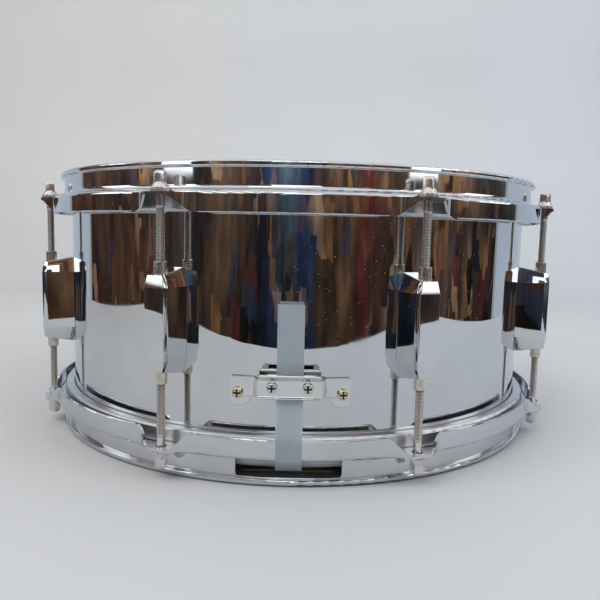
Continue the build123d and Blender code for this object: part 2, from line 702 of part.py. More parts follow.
with BuildPart() as carriage_ref:
    with BuildSketch(Plane.XY.offset(50.5)) as carriage_plan:
        with BuildLine() as carriage_line:
            outline([(-14.5, -180.6, 0.4), (14.5, -180.6, 0.4), (14.5, -190.0, 0.6), (-14.5, -190.0, 0.6)])
        make_face()
    extrude(amount=28.0)
    with BuildSketch(Plane.XY.offset(54.0)) as carriage_bore:
        with Locations((0, -KNOB_D)):
            Circle(2.4)
    extrude(amount=30.0, mode=Mode.SUBTRACT)
    with BuildSketch(Plane.XZ.offset(182.5)) as carriage_taps:
        with Locations((CLAMP_X, 59.0), (-CLAMP_X, 59.0)):
            Circle(1.95)
    extrude(amount=10.0, mode=Mode.SUBTRACT)
with BuildPart() as throwoff_carriage:
    add(carriage_ref.part.rotate(Axis.Z, 180))
save(throwoff_carriage.part, "throwoff_carriage")

with BuildPart() as tclamp_ref:
    with BuildSketch(Plane.XZ.offset(190.85)) as tclamp_plan:
        with BuildLine() as tclamp_line:
            outline([(-13.8, 52.5, 2.0), (13.8, 52.5, 2.0), (13.8, 66.0, 2.0), (-13.8, 66.0, 2.0)])
        make_face()
        with Locations((CLAMP_X, 59.0), (-CLAMP_X, 59.0)):
            Circle(2.1, mode=Mode.SUBTRACT)
    extrude(amount=1.8)
with BuildPart() as throwoff_clamp_plate:
    add(tclamp_ref.part.rotate(Axis.Z, 180))
save(throwoff_clamp_plate.part, "throwoff_clamp_plate")

with BuildPart() as tclamp_screw:
    with BuildSketch(Plane.XZ.offset(192.65)) as ts_head:
        with Locations((0, 59.0)):
            Circle(3.1)
    extrude(amount=2.3)
    fillet(tclamp_screw.edges().filter_by(GeomType.CIRCLE).sort_by(Axis.Y)[0], radius=1.3)
    with BuildSketch(Plane.XZ.offset(193.65)) as ts_cross:
        with Locations((0, 59.0)):
            Rectangle(4.4, 1.1)
            Rectangle(1.1, 4.4)
    extrude(amount=3, mode=Mode.SUBTRACT)
    with BuildSketch(Plane.XZ.offset(183.0)) as ts_shaft:
        with Locations((0, 59.0)):
            Circle(1.9)
    extrude(amount=9.65)
with BuildPart() as throwoff_clamp_screws:
    add(tclamp_screw.part.moved(Location((CLAMP_X, 0, 0))).rotate(Axis.Z, 180))
    add(tclamp_screw.part.moved(Location((-CLAMP_X, 0, 0))).rotate(Axis.Z, 180))
save(throwoff_clamp_screws.part, "throwoff_clamp_screws")

with BuildPart() as knob_ref:
    with BuildSketch(Plane.XY.offset(101.2)) as knob_plan:
        with Locations((0, -KNOB_D)):
            Circle(6.8)
    extrude(amount=11.0)
    fillet(knob_ref.edges().filter_by(GeomType.CIRCLE).sort_by(Axis.Z)[-1], radius=1.2)
    with BuildSketch(Plane.XY.offset(102.4)) as knob_grooves:
        with Locations((0, -KNOB_D)):
            with PolarLocations(7.0, 16):
                Circle(0.7)
    extrude(amount=12.0, mode=Mode.SUBTRACT)
    with BuildSketch(Plane.XY.offset(60.0)) as knob_screw:
        with Locations((0, -KNOB_D)):
            Circle(2.0)
    extrude(amount=41.2)
with BuildPart() as throwoff_knob:
    add(knob_ref.part.rotate(Axis.Z, 180))
save(throwoff_knob.part, "throwoff_knob")

with BuildPart() as lever_ref:
    with BuildSketch(Plane.YZ.offset(-19.6)) as lever_arm_a:
        with BuildLine() as lever_arm_a_line:
            outline([(-181.6, 86.5, 3.0), (-188.5, 84.6, 4.0), (-197.5, 100.0, 3.0), (-198.3, 112.0, 1.0), (-195.6, 112.0, 1.0), (-182.5, 96.5, 4.0)])
        make_face()
        with Locations((-PIVOT_D, PIVOT_Z)):
            Circle(2.4, mode=Mode.SUBTRACT)
    extrude(amount=2.0)
    with BuildSketch(Plane.YZ.offset(17.6)) as lever_arm_b:
        with BuildLine() as lever_arm_b_line:
            outline([(-181.6, 86.5, 3.0), (-188.5, 84.6, 4.0), (-197.5, 100.0, 3.0), (-198.3, 112.0, 1.0), (-195.6, 112.0, 1.0), (-182.5, 96.5, 4.0)])
        make_face()
        with Locations((-PIVOT_D, PIVOT_Z)):
            Circle(2.4, mode=Mode.SUBTRACT)
    extrude(amount=2.0)
    with BuildSketch(Plane.YZ.offset(-19.6)) as lever_grip:
        with BuildLine() as lever_grip_line:
            outline(sheet_path([(-195.4, 100.5, 0), (-197.0, 112.0, 12), (-197.6, 124.0, 8), (-201.5, 132.5, 0)], 2.4))
        make_face()
    extrude(amount=39.2)
    with BuildSketch(Plane.XZ.offset(185)) as lever_taper:
        with BuildLine() as lever_taper_a:
            Polyline([(19.7, 112.0), (10.0, 134.0), (22.0, 134.0), (22.0, 112.0), (19.7, 112.0)])
        make_face()
        with BuildLine() as lever_taper_b:
            Polyline([(-19.7, 112.0), (-10.0, 134.0), (-22.0, 134.0), (-22.0, 112.0), (-19.7, 112.0)])
        make_face()
    extrude(amount=25, mode=Mode.SUBTRACT)
with BuildPart() as throwoff_lever:
    add(lever_ref.part.rotate(Axis.Z, 180))
save(throwoff_lever.part, "throwoff_lever")

with BuildPart() as pivot_ref:
    with BuildSketch(Plane.YZ.offset(14.8)) as pivot_a:
        with Locations((-PIVOT_D, PIVOT_Z)):
            Circle(2.0)
    extrude(amount=5.2)
    with BuildSketch(Plane.YZ.offset(20.0)) as pivot_b:
        with Locations((-PIVOT_D, PIVOT_Z)):
            Circle(3.4)
    extrude(amount=1.4)
with BuildPart() as throwoff_pivot_pins:
    add(pivot_ref.part.rotate(Axis.Z, 180))
    add(pivot_ref.part.mirror(Plane.YZ).rotate(Axis.Z, 180))
save(throwoff_pivot_pins.part, "throwoff_pivot_pins")

with BuildPart() as tmount_ref:
    with BuildSketch(Plane.XZ.offset(174.7)) as tm_shaft:
        with Locations((0, 56), (0, 94)):
            Circle(2.0)
    extrude(amount=5.1)
    with BuildSketch(Plane.XZ.offset(172.0)) as tm_head:
        with Locations((0, 56), (0, 94)):
            RegularPolygon(radius=3.6, side_count=6, major_radius=False)
    extrude(amount=2.7)
with BuildPart() as throwoff_mount_screws:
    add(tmount_ref.part.rotate(Axis.Z, 180))
save(throwoff_mount_screws.part, "throwoff_mount_screws")

with BuildPart() as tmount_washer:
    with BuildSketch(Plane.XZ.offset(174.7)) as tw_plan:
        with Locations((0, 56), (0, 94)):
            Circle(5.0)
            Circle(2.2, mode=Mode.SUBTRACT)
    extrude(amount=1.0)
with BuildPart() as throwoff_screw_washers:
    add(tmount_washer.part.rotate(Axis.Z, 180))
save(throwoff_screw_washers.part, "throwoff_screw_washers")
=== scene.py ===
import bpy
import bmesh
import json
import math
from mathutils import Vector, Matrix


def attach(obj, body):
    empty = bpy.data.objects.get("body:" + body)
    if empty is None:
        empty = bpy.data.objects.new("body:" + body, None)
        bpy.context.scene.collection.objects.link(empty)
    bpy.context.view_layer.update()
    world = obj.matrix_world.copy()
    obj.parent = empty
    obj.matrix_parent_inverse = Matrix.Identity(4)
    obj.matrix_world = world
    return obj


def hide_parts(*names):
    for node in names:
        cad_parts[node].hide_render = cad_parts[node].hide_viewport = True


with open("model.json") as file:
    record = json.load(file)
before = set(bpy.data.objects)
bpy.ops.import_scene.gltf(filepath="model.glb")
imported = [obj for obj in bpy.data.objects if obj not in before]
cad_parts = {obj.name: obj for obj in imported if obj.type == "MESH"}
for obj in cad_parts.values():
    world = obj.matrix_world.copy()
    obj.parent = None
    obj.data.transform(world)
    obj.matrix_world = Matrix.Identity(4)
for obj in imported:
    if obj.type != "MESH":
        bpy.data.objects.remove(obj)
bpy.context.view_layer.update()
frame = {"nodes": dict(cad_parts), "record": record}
NODES = frame["nodes"]
RECORD = frame["record"]
NODE_BODY = {n: b for b, ns in RECORD["behaviour"]["bodies"].items() for n in ns}
SLOT_OF = {s["node"]: s["material_slot"] for s in RECORD["subparts"]}

# dimensions shared with the CAD, in metres
ZC = 0.09065
R_ROD = 0.1918
EAR_H = 0.07265
AZ = [-67.5 + 45.0 * i for i in range(8)]


def lin(c):
    return tuple(((v / 12.92) if v <= 0.04045 else ((v + 0.055) / 1.055) ** 2.4) for v in c)


def rgb(r, g, b):
    return lin((r / 255.0, g / 255.0, b / 255.0)) + (1.0,)


# ------------------------------------------------------------------ materials
class Mat:
    """A node material with a few shortcuts. Uniform values go straight on the shader."""

    def __init__(self, name):
        self.m = bpy.data.materials.new(name)
        self.m.use_nodes = True
        self.t = self.m.node_tree
        self.b = self.t.nodes["Principled BSDF"]
        self.coord = self.t.nodes.new("ShaderNodeTexCoord")

    def n(self, kind, **kw):
        node = self.t.nodes.new(kind)
        for k, v in kw.items():
            setattr(node, k, v)
        return node

    def link(self, a, b):
        self.t.links.new(a, b)

    def mapped(self, scale=(1, 1, 1), rot=(0, 0, 0)):
        mp = self.n("ShaderNodeMapping")
        mp.inputs["Scale"].default_value = scale
        mp.inputs["Rotation"].default_value = rot
        self.link(self.coord.outputs["Object"], mp.inputs["Vector"])
        return mp.outputs["Vector"]

    def noise(self, scale, detail=4.0, rough=0.55, vec=None, distortion=0.0):
        nz = self.n("ShaderNodeTexNoise")
        nz.inputs["Scale"].default_value = scale
        nz.inputs["Detail"].default_value = detail
        nz.inputs["Roughness"].default_value = rough
        nz.inputs["Distortion"].default_value = distortion
        self.link(vec if vec is not None else self.coord.outputs["Object"], nz.inputs["Vector"])
        return nz.outputs["Fac"]

    def voronoi(self, scale, vec=None, feature="F1", rnd=1.0):
        v = self.n("ShaderNodeTexVoronoi")
        v.feature = feature
        v.inputs["Scale"].default_value = scale
        v.inputs["Randomness"].default_value = rnd
        self.link(vec if vec is not None else self.coord.outputs["Object"], v.inputs["Vector"])
        return v

    def remap(self, sock, a, b, c, d):
        r = self.n("ShaderNodeMapRange")
        r.inputs["From Min"].default_value = a
        r.inputs["From Max"].default_value = b
        r.inputs["To Min"].default_value = c
        r.inputs["To Max"].default_value = d
        self.link(sock, r.inputs["Value"])
        return r.outputs["Result"]

    def math(self, op, a, b=None, clamp=False):
        m = self.n("ShaderNodeMath", operation=op)
        m.use_clamp = clamp
        for i, v in enumerate((a, b)):
            if v is None:
                continue
            if isinstance(v, (int, float)):
                m.inputs[i].default_value = v
            else:
                self.link(v, m.inputs[i])
        return m.outputs[0]

    def mix(self, fac, a, b, blend="MIX"):
        m = self.n("ShaderNodeMix", data_type="RGBA", blend_type=blend)
        for s, v in ((m.inputs["Factor"], fac), (m.inputs["A"], a), (m.inputs["B"], b)):
            if isinstance(v, (int, float)):
                s.default_value = v
            elif isinstance(v, tuple):
                s.default_value = v
            else:
                self.link(v, s)
        return m.outputs["Result"]

    # the float version of the mix sockets shares names, so colour sockets are picked by type
    def bump(self, height, strength, distance=0.001, normal=None):
        b = self.n("ShaderNodeBump")
        b.inputs["Strength"].default_value = strength
        b.inputs["Distance"].default_value = distance
        self.link(height, b.inputs["Height"])
        if normal is not None:
            self.link(normal, b.inputs["Normal"])
        return b.outputs["Normal"]

    def set(self, **kw):
        for k, v in kw.items():
            s = self.b.inputs[k.replace("_", " ")]
            if isinstance(v, (int, float, tuple)):
                s.default_value = v
            else:
                self.link(v, s)
        return self


def colour_mix(mat, fac, a, b):
    m = mat.t.nodes.new("ShaderNodeMix")
    m.data_type = "RGBA"
    f, ca, cb = m.inputs[0], m.inputs[6], m.inputs[7]
    for s, v in ((f, fac), (ca, a), (cb, b)):
        if isinstance(v, (int, float, tuple)):
            s.default_value = v
        else:
            mat.t.links.new(v, s)
    return m.outputs[2]


def chrome(name, base=(0.70, 0.71, 0.72), rough=0.025, smudge=0.05, wavy=0.012, pits=True, scale=1.0, dust=0.0):
    """Bright chrome: finger smears and wipe marks in the roughness, pits, dust, a faint waviness."""
    m = Mat(name)
    smear = m.noise(14.0 * scale, 5.0, 0.6, distortion=1.2)
    wipe = m.noise(60.0 * scale, 3.0, 0.5, vec=m.mapped((1.0, 1.0, 0.12), (0.0, 0.35, 0.0)))
    r1 = m.remap(smear, 0.45, 0.75, rough, rough + smudge)
    r2 = m.remap(wipe, 0.55, 0.80, 0.0, smudge * 0.6)
    r = m.math("ADD", r1, r2)
    base_c = base + (1.0,)
    dull = (base[0] * 0.90, base[1] * 0.905, base[2] * 0.92, 1.0)
    col = colour_mix(m, m.remap(smear, 0.40, 0.75, 0.0, 1.0), base_c, dull)
    wave = m.noise(9.0 * scale, 2.0, 0.4)
    h = m.math("MULTIPLY", wave, 1.0)
    nrm = m.bump(h, wavy, 0.02)
    if pits:
        v = m.voronoi(150.0 * scale)
        sparse = m.remap(m.noise(22.0 * scale, 2.0), 0.56, 0.66, 0.0, 1.0)
        dot = m.remap(v.outputs["Distance"], 0.035, 0.075, 1.0, 0.0)
        mask = m.math("MULTIPLY", dot, sparse, clamp=True)
        col = colour_mix(m, mask, col, (0.09, 0.075, 0.06, 1.0))
        r = m.math("ADD", r, m.math("MULTIPLY", mask, 0.5))
    if dust > 0.0:
        # single dust grains, thicker in some places, and fine hairline scratches
        dv = m.voronoi(560.0 * scale)
        where = m.remap(m.noise(7.0, 3.0, 0.6), 0.46, 0.66, 0.0, 1.0)
        grain = m.remap(dv.outputs["Distance"], 0.10, 0.17, 1.0, 0.0)
        pick = m.remap(m.noise(330.0 * scale, 1.0), 0.61, 0.64, 0.0, 1.0)
        dm = m.math("MULTIPLY", m.math("MULTIPLY", grain, pick), where, clamp=True)
        dm = m.math("MULTIPLY", dm, dust, clamp=True)
        hair = m.noise(520.0 * scale, 1.0, 0.4, vec=m.mapped((1.0, 1.0, 0.03), (0.9, 0.25, 0.0)), distortion=0.6)
        hm = m.math("MULTIPLY", m.remap(hair, 0.735, 0.765, 0.0, 1.0), m.remap(m.noise(11.0, 2.0), 0.58, 0.7, 0.0, 0.5), clamp=True)
        r = m.math("ADD", r, m.math("MULTIPLY", hm, 0.35))
        col = colour_mix(m, dm, col, (0.48, 0.46, 0.44, 1.0))
        r = m.math("ADD", r, m.math("MULTIPLY", dm, 0.6))
        m.set(Metallic=m.math("SUBTRACT", 1.0, dm, clamp=True))
    else:
        m.b.inputs["Metallic"].default_value = 1.0
    m.set(Base_Color=col, Roughness=r, Normal=nrm)
    return m.m


def plated(name, light, dark, rough=0.3, var=0.16, scale=1.0, bump=0.25):
    """Dull plating on small hardware: blotchy colour, fine brushed grain."""
    m = Mat(name)
    blot = m.noise(260.0 * scale, 4.0, 0.6)
    grain = m.noise(1800.0 * scale, 3.0, 0.6, vec=m.mapped((1.0, 1.0, 0.25)))
    col = colour_mix(m, m.remap(blot, 0.35, 0.68, 0.0, 1.0), light + (1.0,), dark + (1.0,))
    r = m.math("ADD", m.remap(blot, 0.3, 0.7, rough, rough + var), m.remap(grain, 0.3, 0.7, -0.04, 0.05))
    m.set(Base_Color=col, Metallic=1.0, Roughness=r, Normal=m.bump(grain, bump, 0.00006))
    return m.m


def rod_material(name):
    """Nickel rod: darker, rougher thread roots and lighter crests."""
    m = Mat(name)
    at = m.n("ShaderNodeAttribute", attribute_name="unrecessed")
    blot = m.noise(300.0, 4.0, 0.6)
    crest = colour_mix(m, m.remap(blot, 0.35, 0.7, 0.0, 1.0), (0.86, 0.82, 0.78, 1.0), (0.72, 0.68, 0.63, 1.0))
    # near-black and rougher where the thread-root attribute is low
    col = colour_mix(m, at.outputs["Fac"], (0.12, 0.10, 0.085, 1.0), crest)
    r = m.math("ADD", m.remap(blot, 0.3, 0.7, 0.18, 0.30), m.math("MULTIPLY", m.math("SUBTRACT", 1.0, at.outputs["Fac"]), 0.25))
    m.set(Base_Color=col, Metallic=1.0, Roughness=r)
    return m.m


def batter_film():
    m = Mat("coated_film")
    grit = m.noise(2600.0, 3.0, 0.7)
    mott = m.noise(24.0, 5.0, 0.6)
    # wear: greyish marks towards the middle
    dist = m.n("ShaderNodeVectorMath", operation="LENGTH")
    m.link(m.mapped((1.0, 1.0, 0.0)), dist.inputs[0])
    centre = m.remap(dist.outputs["Value"], 0.02, 0.11, 1.0, 0.0)
    marks = m.math("MULTIPLY", m.remap(m.noise(120.0, 6.0, 0.7, distortion=2.0), 0.52, 0.72, 0.0, 1.0), centre, clamp=True)
    col = colour_mix(m, m.remap(mott, 0.35, 0.7, 0.0, 1.0), (0.83, 0.83, 0.81, 1.0), (0.78, 0.78, 0.755, 1.0))
    col = colour_mix(m, m.math("MULTIPLY", marks, 0.45), col, (0.45, 0.44, 0.42, 1.0))
    m.set(Base_Color=col, Roughness=m.remap(grit, 0.3, 0.7, 0.5, 0.72), Normal=m.bump(grit, 0.35, 0.00012))
    return m.m


def clear_film():
    m = Mat("clear_film")
    haze = m.noise(30.0, 5.0, 0.6)
    fine = m.noise(900.0, 2.0, 0.5)
    col = colour_mix(m, m.remap(haze, 0.35, 0.7, 0.0, 1.0), (0.86, 0.88, 0.89, 1.0), (0.78, 0.80, 0.81, 1.0))
    m.set(Base_Color=col, Roughness=m.remap(haze, 0.3, 0.7, 0.12, 0.3), Normal=m.bump(fine, 0.08, 0.00005))
    m.b.inputs["Transmission Weight"].default_value = 0.55
    m.b.inputs["IOR"].default_value = 1.05
    return m.m


def strap_material():
    m = Mat("plastic_strap")
    cloud = m.noise(55.0, 4.0, 0.55)
    drawn = m.noise(420.0, 3.0, 0.5, vec=m.mapped((1.0, 1.0, 0.06)))
    scratch = m.remap(m.noise(900.0, 2.0, 0.5, vec=m.mapped((1.0, 1.0, 0.04), (0.0, 0.08, 0.0))), 0.66, 0.74, 0.0, 1.0)
    col = colour_mix(m, m.remap(cloud, 0.35, 0.7, 0.0, 1.0), (0.68, 0.75, 0.80, 1.0), (0.61, 0.69, 0.75, 1.0))
    col = colour_mix(m, m.math("MULTIPLY", scratch, 0.35), col, (0.80, 0.86, 0.90, 1.0))
    m.set(Base_Color=col, Roughness=m.remap(drawn, 0.3, 0.7, 0.28, 0.46), Normal=m.bump(drawn, 0.15, 0.00008))
    m.b.inputs["Transmission Weight"].default_value = 0.6
    m.b.inputs["IOR"].default_value = 1.3
    return m.m


def satin_aluminium():
    m = Mat("aluminium_hoop")
    ring = m.noise(700.0, 3.0, 0.6, vec=m.mapped((0.06, 0.06, 1.0)))
    blot = m.noise(40.0, 4.0, 0.6)
    col = colour_mix(m, m.remap(blot, 0.35, 0.7, 0.0, 1.0), (0.74, 0.75, 0.76, 1.0), (0.62, 0.63, 0.65, 1.0))
    m.set(Base_Color=col, Metallic=1.0, Roughness=m.remap(ring, 0.3, 0.7, 0.30, 0.45), Normal=m.bump(ring, 0.10, 0.00008))
    return m.m


def nylon():
    m = Mat("nylon_tube")
    nz = m.noise(400.0, 4.0, 0.6)
    col = colour_mix(m, m.remap(nz, 0.35, 0.7, 0.0, 1.0), (0.70, 0.67, 0.58, 1.0), (0.60, 0.57, 0.49, 1.0))
    m.set(Base_Color=col, Roughness=m.remap(nz, 0.3, 0.7, 0.4, 0.6), Normal=m.bump(nz, 0.15, 0.0001))
    return m.m


MATS = {
    "chrome_shell": chrome("chrome_shell", (0.70, 0.71, 0.72), 0.012, 0.045, 0.006, dust=0.9),
    "chrome_hoop": chrome("chrome_hoop", (0.71, 0.72, 0.73), 0.02, 0.06, 0.012, scale=1.3, dust=0.6),
    "chrome_lug": chrome("chrome_lug", (0.71, 0.72, 0.73), 0.015, 0.03, 0.02, scale=2.2, dust=0.5),
    "chrome_butt": chrome("chrome_butt", (0.78, 0.785, 0.77), 0.07, 0.09, 0.05, scale=3.0),
    "chrome_throwoff": chrome("chrome_throwoff", (0.73, 0.74, 0.75), 0.03, 0.06, 0.02, scale=2.5),
    "chrome_screw": chrome("chrome_screw", (0.74, 0.745, 0.74), 0.08, 0.10, 0.03, scale=4.0),
    "chrome_grommet": chrome("chrome_grommet", (0.73, 0.74, 0.75), 0.04, 0.06, 0.02, scale=3.0),
    "nickel_rod": rod_material("nickel_rod"),
    "nickel_nut": plated("nickel_nut", (0.80, 0.76, 0.66), (0.64, 0.60, 0.51), 0.20, 0.14),
    "steel_washer": plated("steel_washer", (0.58, 0.58, 0.58), (0.44, 0.44, 0.44), 0.28, 0.15),
    "zinc_screw": plated("zinc_screw", (0.62, 0.63, 0.64), (0.48, 0.49, 0.50), 0.26, 0.15),
    "steel_pin": plated("steel_pin", (0.62, 0.62, 0.63), (0.48, 0.48, 0.49), 0.22, 0.12),
    "brass_screw": plated("brass_screw", (0.78, 0.66, 0.40), (0.58, 0.47, 0.27), 0.20, 0.16),
    "end_plate_steel": plated("end_plate", (0.62, 0.50, 0.36), (0.45, 0.34, 0.23), 0.30, 0.18, 0.4),
    "wire_steel": plated("wire_steel", (0.70, 0.70, 0.69), (0.55, 0.54, 0.52), 0.26, 0.14),
    "coated_film": batter_film(),
    "clear_film": clear_film(),
    "aluminium_hoop": satin_aluminium(),
    "plastic_strap": strap_material(),
    "nylon_tube": nylon(),
}


def dress(obj, slot):
    obj.data.materials.clear()
    obj.data.materials.append(MATS[slot])


for name, obj in NODES.items():
    dress(obj, SLOT_OF[name])


# ------------------------------------------------------------------ mesh helpers
def new_object(name, verts, faces, smooth=True):
    me = bpy.data.meshes.new(name)
    me.from_pydata(verts, [], faces)
    me.validate()
    me.update()
    o = bpy.data.objects.new(name, me)
    bpy.context.scene.collection.objects.link(o)
    if smooth:
        me.polygons.foreach_set("use_smooth", [True] * len(me.polygons))
    return o


def sharp_by_angle(o, degrees):
    """Smooth shading with hard edges kept where faces meet at more than the angle."""
    me = o.data
    bm = bmesh.new()
    bm.from_mesh(me)
    lim = math.radians(degrees)
    for f in bm.faces:
        f.smooth = True
    for e in bm.edges:
        if len(e.link_faces) == 2:
            e.smooth = e.calc_face_angle(0.0) < lim
        else:
            e.smooth = False
    bm.to_mesh(me)
    bm.free()


def stand_for(piece, node):
    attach(piece, NODE_BODY[node])
    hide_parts(node)
    piece.data.materials.clear()
    piece.data.materials.append(MATS[SLOT_OF[node]])


def refined(node, width, segments=3, angle=25.0, soft=None, clamp=True):
    """A copy of a casting with its hard edges rounded by real geometry. Edges between two
    large faces are rounded from the smaller angle soft on, so that each facet stays flat."""
    src = NODES[node]
    me = src.data.copy()
    me.name = node + "_refined"
    o = bpy.data.objects.new(node + "_refined", me)
    bpy.context.scene.collection.objects.link(o)
    bm = bmesh.new()
    bm.from_mesh(me)
    bmesh.ops.remove_doubles(bm, verts=bm.verts, dist=2e-6)
    bmesh.ops.dissolve_limit(bm, angle_limit=math.radians(0.6), verts=bm.verts, edges=bm.edges,
                             delimit={"NORMAL"})
    weight = bm.edges.layers.float.new("bevel_weight_edge")
    for e in bm.edges:
        if len(e.link_faces) != 2:
            continue
        turn = math.degrees(e.calc_face_angle(0.0))
        small = min(f.calc_area() for f in e.link_faces)
        if turn >= angle or (soft is not None and turn >= soft and small > 9e-6):
            e[weight] = 1.0
    bm.to_mesh(me)
    bm.free()
    for at in list(me.attributes):
        if at.name in ("custom_normal", "sharp_face", "sharp_edge"):
            me.attributes.remove(at)
    mod = o.modifiers.new("round", "BEVEL")
    mod.width = width
    mod.segments = segments
    mod.limit_method = "WEIGHT"
    mod.harden_normals = False
    mod.use_clamp_overlap = clamp
    dg = bpy.context.evaluated_depsgraph_get()
    done = bpy.data.meshes.new_from_object(o.evaluated_get(dg))
    o.modifiers.clear()
    o.data = done
    sharp_by_angle(o, 50.0)
    wn = o.modifiers.new("weighted", "WEIGHTED_NORMAL")
    wn.keep_sharp = True
    wn.weight = 90
    stand_for(o, node)
    return o


# ------------------------------------------------------------------ tension rods
SEG = 24
PITCH = 0.0008
R_MAJ, R_MIN = 0.00246, 0.00204


def thread_radius(z, theta):
    """M5 x 0.8 profile: 60 degree flanks, flat crest and root, right-handed."""
    u = (z / PITCH - theta / (2 * math.pi)) % 1.0
    d = abs(u - 0.5) * 2.0            # 1 at the crest, 0 at the root
    k = min(1.0, max(0.0, (d - 0.16) / 0.68))
    return R_MIN + (R_MAJ - R_MIN) * k, k


def rod_mesh(name):
    """A rod standing on +Z at the origin: z = 0 is the underside of the collar."""
    rings = []          # (z, function of theta -> (radius, wear))
    bottom = -(EAR_H + 0.0012 - 0.018)
    step = PITCH / 6.0
    top_thread = -0.0085

    def plain(r, w=1.0):
        return lambda th: (r, w)

    z = bottom
    rings.append((bottom, plain(0.0015, 0.8)))
    z = bottom + 0.0007
    while z < top_thread:
        zz = z

        def f(th, zz=zz):
            r, k = thread_radius(zz, th)
            fade = min(1.0, (zz - bottom) / 0.0012)
            out = min(1.0, max(0.0, (top_thread - zz) / 0.0016))
            r = R_MIN + (r - R_MIN) * fade
            r = r * out + R_MAJ * (1.0 - out)
            return r, 0.12 + 0.88 * max(k, 1.0 - out)
        rings.append((zz, f))
        z += step
    for zz, r in ((top_thread + 0.0004, 0.00246), (-0.0009, 0.00246), (-0.0003, 0.0026), (0.0, 0.0027),
                  (0.0, 0.00485), (0.00012, 0.00505), (0.0003, 0.00515), (0.0010, 0.00515),
                  (0.0013, 0.00504), (0.0015, 0.00478), (0.0017, 0.00462), (0.0022, 0.00436), (0.0028, 0.00408),
                  (0.0034, 0.00376), (0.0039, 0.00344), (0.0042, 0.0031), (0.0043, 0.0027)):
        rings.append((zz, plain(r)))
    verts, faces, unrecessed = [], [], []
    for zz, f in rings:
        for s in range(SEG):
            th = 2 * math.pi * s / SEG
            r, w = f(th)
            verts.append((r * math.cos(th), r * math.sin(th), zz))
            unrecessed.append(w)
    for k in range(len(rings) - 1):
        for s in range(SEG):
            a, b = k * SEG + s, k * SEG + (s + 1) % SEG
            faces.append((a, b, b + SEG, a + SEG))
    faces.append(tuple(range(SEG))[::-1])
    last = (len(rings) - 1) * SEG
    faces.append(tuple(range(last, last + SEG)))
    # square key head with rounded corners and a chamfered, slightly domed top
    half = 0.0030
    corner = 0.0006

    def square(h, z, c):
        pts = []
        for q in range(4):
            cx = (h - c) * (1 if q in (0, 3) else -1)
            cy = (h - c) * (1 if q in (0, 1) else -1)
            for k in range(5):
                a = math.radians(90 * q + 22.5 * k)
                pts.append((cx + c * math.cos(a), cy + c * math.sin(a), z))
        return pts
    z_top = 0.01045
    base = len(verts)
    levels = [(half, 0.0018, corner), (half - 0.00004, z_top - 0.0022, corner), (half - 0.00016, z_top - 0.0014, corner),
              (half - 0.00042, z_top - 0.0008, corner), (half - 0.0008, z_top - 0.00036, corner),
              (half - 0.00118, z_top - 0.0001, corner * 0.9), (half - 0.00155, z_top, corner * 0.8)]
    for h, z, c in levels:
        for p in square(h, z, c):
            verts.append(p)
            unrecessed.append(1.0)
    m = 20
    for k in range(len(levels) - 1):
        for s in range(m):
            a, b = base + k * m + s, base + k * m + (s + 1) % m
            faces.append((a, b, b + m, a + m))
    faces.append(tuple(range(base, base + m))[::-1])
    e = base + (len(levels) - 1) * m
    faces.append(tuple(range(e, e + m)))
    o = new_object(name, verts, faces)
    at = o.data.attributes.new("unrecessed", "FLOAT", "POINT")
    at.data.foreach_set("value", unrecessed)
    sharp_by_angle(o, 38.0)
    return o


rod_proto = rod_mesh("rod_proto")
for side in ("top", "bottom"):
    for i, a in enumerate(AZ):
        A = math.radians(a)
        o = bpy.data.objects.new(f"rod_{side}_{i + 1}", rod_proto.data.copy())
        bpy.context.scene.collection.objects.link(o)
        turn = Matrix.Rotation(A + 0.37 * i, 4, "Z")
        h = EAR_H + 0.0012
        if side == "top":
            place = Matrix.Translation((R_ROD * math.sin(A), -R_ROD * math.cos(A), ZC + h)) @ turn
        else:
            place = Matrix.Translation((R_ROD * math.sin(A), -R_ROD * math.cos(A), ZC - h)) @ Matrix.Rotation(math.pi, 4, "X") @ turn
        o.data.transform(place)
        stand_for(o, f"tension_rod_{side}_{i + 1}")
bpy.data.objects.remove(rod_proto)

# ------------------------------------------------------------------ snare wires
W_N, W_PITCH, W_Z, W_HALF = 20, 0.0027, 0.00635, 0.163


def coil(x0, z0, y0, y1, radius, wire, pitch, per_turn=9, ring=4, phase=0.0, verts=None, faces=None):
    turns = (y1 - y0) / pitch
    n = int(turns * per_turn)
    start = len(verts)
    for k in range(n + 1):
        th = 2 * math.pi * k / per_turn + phase
        y = y0 + (y1 - y0) * k / n
        c, s = math.cos(th), math.sin(th)
        for q in range(ring):
            b = 2 * math.pi * (q + 0.5) / ring
            rr = radius + wire * math.cos(b)
            verts.append((x0 + rr * c, y + wire * math.sin(b), z0 + rr * s))
    for k in range(n):
        for q in range(ring):
            a0 = start + k * ring + q
            a1 = start + k * ring + (q + 1) % ring
            faces.append((a0, a0 + ring, a1 + ring, a1))
    faces.append(tuple(start + q for q in range(ring)))
    faces.append(tuple(start + n * ring + q for q in range(ring))[::-1])


wv, wf = [], []
for i in range(W_N):
    coil((i - 0.5 * (W_N - 1)) * W_PITCH, W_Z, -W_HALF, W_HALF, 0.00093, 0.00022, 0.0015,
         phase=1.7 * i, verts=wv, faces=wf)
wires = new_object("snare_coils", wv, wf)
stand_for(wires, "snare_wires")

# ------------------------------------------------------------------ castings and pressings
for i in range(8):
    refined(f"lug_casing_{i + 1}", 0.0004, 3, 25.0, 3.0)
refined("butt_plate", 0.0004, 3, 40.0, None, False)
refined("butt_clamp_plate", 0.0003, 3)
refined("throwoff_base", 0.0004, 2)
refined("throwoff_carriage", 0.0004, 2)
refined("throwoff_clamp_plate", 0.0003, 2)
refined("throwoff_lever", 0.0004, 2)

